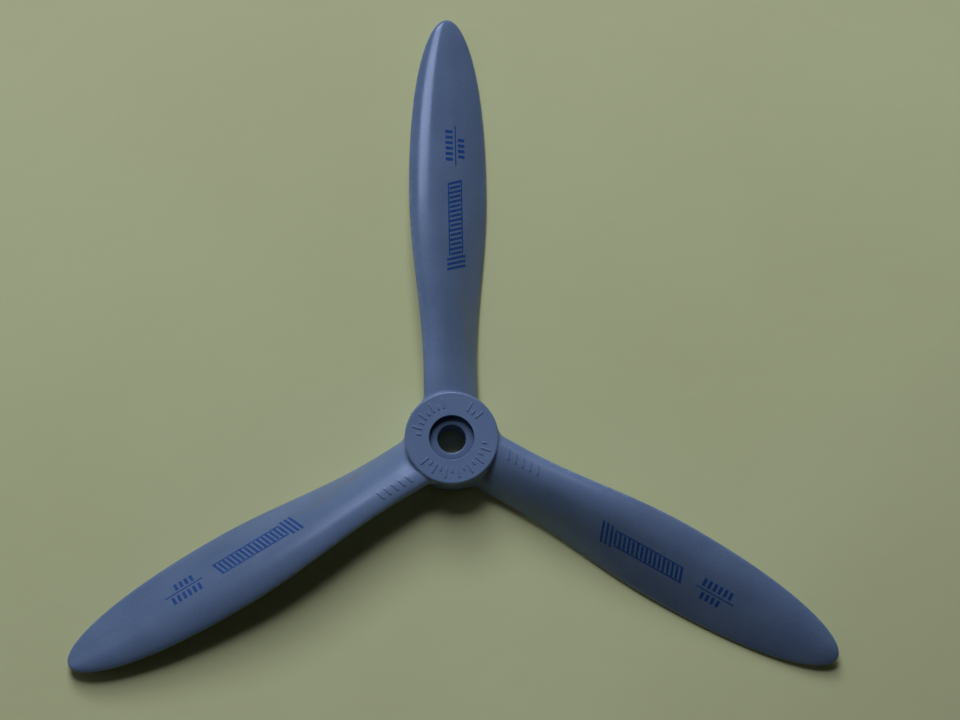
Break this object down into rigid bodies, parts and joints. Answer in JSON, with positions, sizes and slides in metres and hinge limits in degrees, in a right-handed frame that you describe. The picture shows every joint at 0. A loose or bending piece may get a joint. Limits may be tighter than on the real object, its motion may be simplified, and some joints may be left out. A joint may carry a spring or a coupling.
{
  "type": "three-blade model aircraft propeller",
  "caption": "Moulded model aircraft propeller with twisted blades, a round hub and a push-in shaft bush.",
  "frame": {"origin": "centre of the shaft hole on the hub's back face", "axes": "+Z forward along the shaft, out of the front face; +Y along blade_1; turns anticlockwise seen from the front"},
  "size_m": [0.1739, 0.1521, 0.0102],
  "materials": {
    "nylon": "satin, glass-filled nylon",
    "bush": "satin",
    "ink": "matt print"
  },
  "bodies": {
    "propeller": {"hub": "nylon", "blade_1": "nylon", "blade_2": "nylon", "blade_3": "nylon", "hub_face_marks": "nylon", "blade_2_root_marks": "nylon", "blade_3_root_marks": "nylon", "gate_nib": "nylon"},
    "bush": {"shaft_bush": "bush"}
  },
  "joints": [
    {"name": "bush_slide", "type": "slide", "parent": "propeller", "child": "bush", "axis": [0, 0, 1], "range_m": [0, 0.014]}
  ]
}
